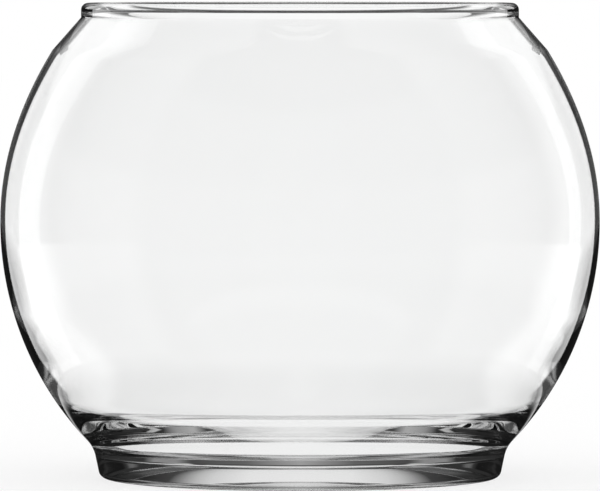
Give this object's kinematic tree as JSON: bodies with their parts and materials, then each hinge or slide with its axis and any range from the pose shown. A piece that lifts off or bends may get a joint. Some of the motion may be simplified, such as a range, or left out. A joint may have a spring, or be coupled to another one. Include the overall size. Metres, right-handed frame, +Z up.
{
  "type": "glass flower bowl",
  "caption": "Clear glass bubble bowl for flowers: a round thin wall, a straight shoulder up to a beaded mouth, and a thick bottom on a low tapered foot.",
  "frame": {"origin": "centre of the plane that the foot rests on", "axes": "+Z up along the bowl's axis of revolution; X and Y are alike"},
  "size_m": [0.1524, 0.1524, 0.1207],
  "materials": {
    "clear_glass": "clear colourless soda-lime glass, fire-polished, smooth and glossy"
  },
  "bodies": {
    "root": {"rim_bead": "clear_glass", "bowl": "clear_glass", "foot": "clear_glass"}
  },
  "joints": []
}
